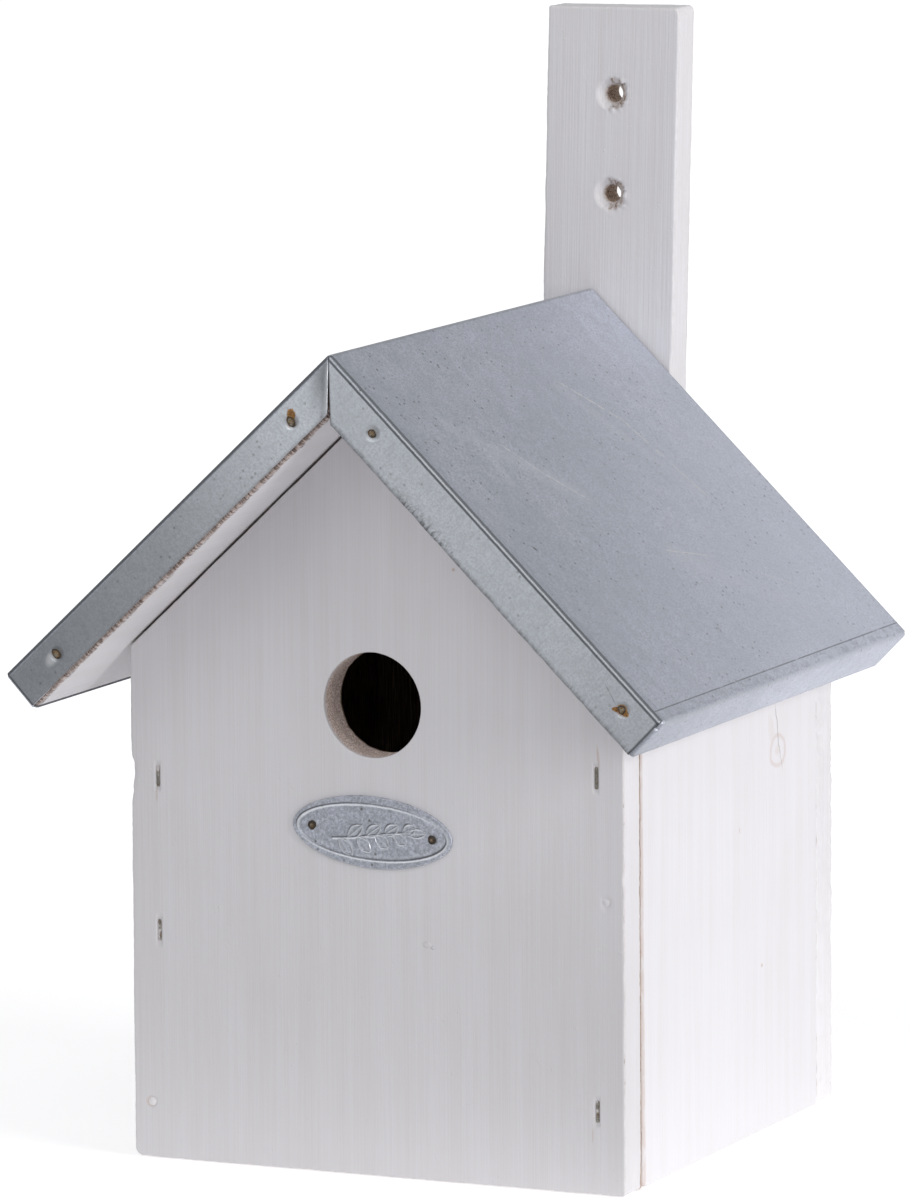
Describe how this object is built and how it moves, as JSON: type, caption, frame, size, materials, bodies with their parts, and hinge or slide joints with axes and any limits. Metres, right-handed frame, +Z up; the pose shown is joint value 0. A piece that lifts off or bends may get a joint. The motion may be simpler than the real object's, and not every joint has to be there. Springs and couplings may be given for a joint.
{
  "type": "bird nest box",
  "caption": "Hanging bird nest box of painted boards: round entrance hole, saddle roof under a folded galvanised sheet, blank oval plaque and a rear batten with countersunk holes.",
  "frame": {"origin": "middle of the flat base, where the floor board meets the ground", "axes": "+Z up, -Y out of the front with the entrance hole, +X to the right seen from the front"},
  "size_m": [0.215, 0.21, 0.3422],
  "materials": {
    "painted_wood": "white paint with the grain showing",
    "bare_wood": "sawn, unpainted",
    "galvanised_sheet": "dull hot-dip zinc",
    "rusty_steel": "rusted",
    "steel_wire": "dull"
  },
  "bodies": {
    "root": {"front_board": "painted_wood", "back_board": "painted_wood", "left_side_board": "painted_wood", "right_side_board": "painted_wood", "floor_board": "bare_wood", "left_roof_board": "painted_wood", "right_roof_board": "painted_wood", "roof_sheet": "galvanised_sheet", "hanging_batten": "painted_wood", "oval_plaque": "galvanised_sheet", "plaque_nails": "rusty_steel", "left_flange_nails": "rusty_steel", "right_flange_nails": "rusty_steel", "back_flange_nails": "rusty_steel", "left_front_staples": "steel_wire", "right_front_staples": "steel_wire", "front_pins": "steel_wire", "back_staples": "steel_wire", "floor_staples": "steel_wire", "roof_board_nails": "steel_wire", "batten_screws": "steel_wire"}
  },
  "joints": []
}
